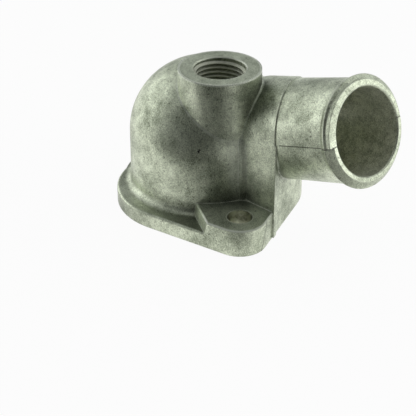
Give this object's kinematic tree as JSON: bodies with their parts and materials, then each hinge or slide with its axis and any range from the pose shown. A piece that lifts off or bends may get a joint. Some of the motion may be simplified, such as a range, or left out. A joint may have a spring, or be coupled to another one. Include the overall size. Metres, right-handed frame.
{
  "type": "coolant water outlet",
  "caption": "Cast aluminium thermostat housing with a bolted flange, a domed chamber, a threaded sender boss and a raised hose neck.",
  "frame": {"origin": "centre of the thermostat opening, on the machined underside of the flange", "axes": "+Z out of the flange towards the dome, +X along the bolt line, +Y across it, on the side that the hose neck turns to"},
  "size_m": [0.1157, 0.0998, 0.0684],
  "materials": {
    "cast_aluminium": "as-cast aluminium, mottled, with machined boss face"
  },
  "bodies": {
    "root": {"water_outlet": "cast_aluminium"}
  },
  "joints": []
}
